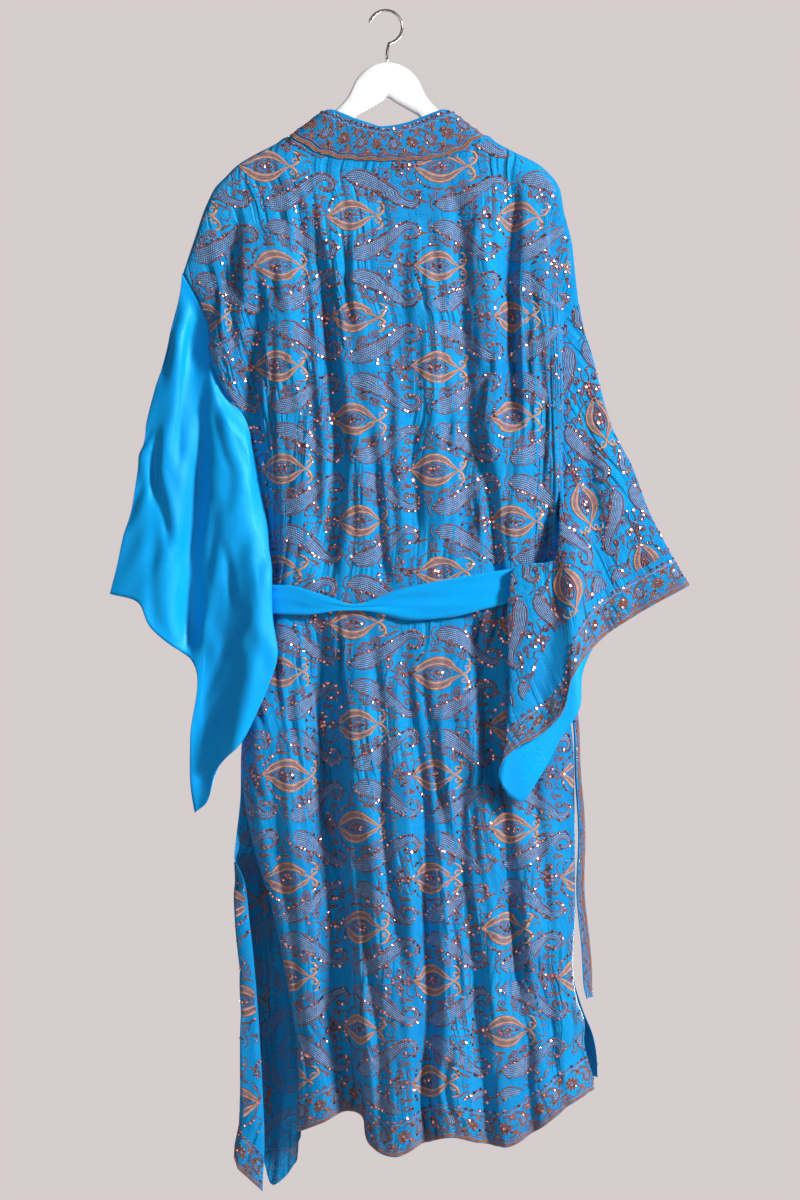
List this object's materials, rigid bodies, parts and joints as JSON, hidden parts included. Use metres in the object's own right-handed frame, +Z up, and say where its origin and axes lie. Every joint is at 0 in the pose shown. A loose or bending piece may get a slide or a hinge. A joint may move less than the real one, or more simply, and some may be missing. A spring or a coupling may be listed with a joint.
{
  "type": "long silk robe on a flat hanger",
  "caption": "Long open-front wrap robe with wide drooping sleeves, a band collar, side slits and a tied waist sash, hung by its shoulders on a flat hanger with a wire hook.",
  "frame": {"origin": "inside top of the hanger's hook, where a rail bears on it", "axes": "+Z up; -Y out of the robe's back, the side the picture shows; +X towards the wearer's right"},
  "size_m": [0.7538, 0.1346, 1.5364],
  "materials": {
    "embroidered_silk": "cerulean silk with a woven sheen, covered in chain-stitched onion and paisley sprays in lavender, tan and brown with rose-copper sequins",
    "border_silk": "the same silk under a dense stitched border of brown leaf sprigs, oval flowers and scrolls, with sequins",
    "plain_satin": "plain azure silk with a satin face",
    "hanger_plastic": "white, softly glossy",
    "hook_wire": "bright plated wire"
  },
  "bodies": {
    "root": {"back_panel": "embroidered_silk", "front_left_panel": "embroidered_silk", "front_right_panel": "embroidered_silk", "right_sleeve_back": "embroidered_silk", "right_sleeve_front": "plain_satin", "left_sleeve": "plain_satin", "collar_band": "border_silk", "sash": "plain_satin", "sash_knot": "plain_satin", "sash_end_left": "plain_satin", "sash_end_right": "border_silk", "hanger": "hanger_plastic", "hanger_hook": "hook_wire"}
  },
  "joints": []
}
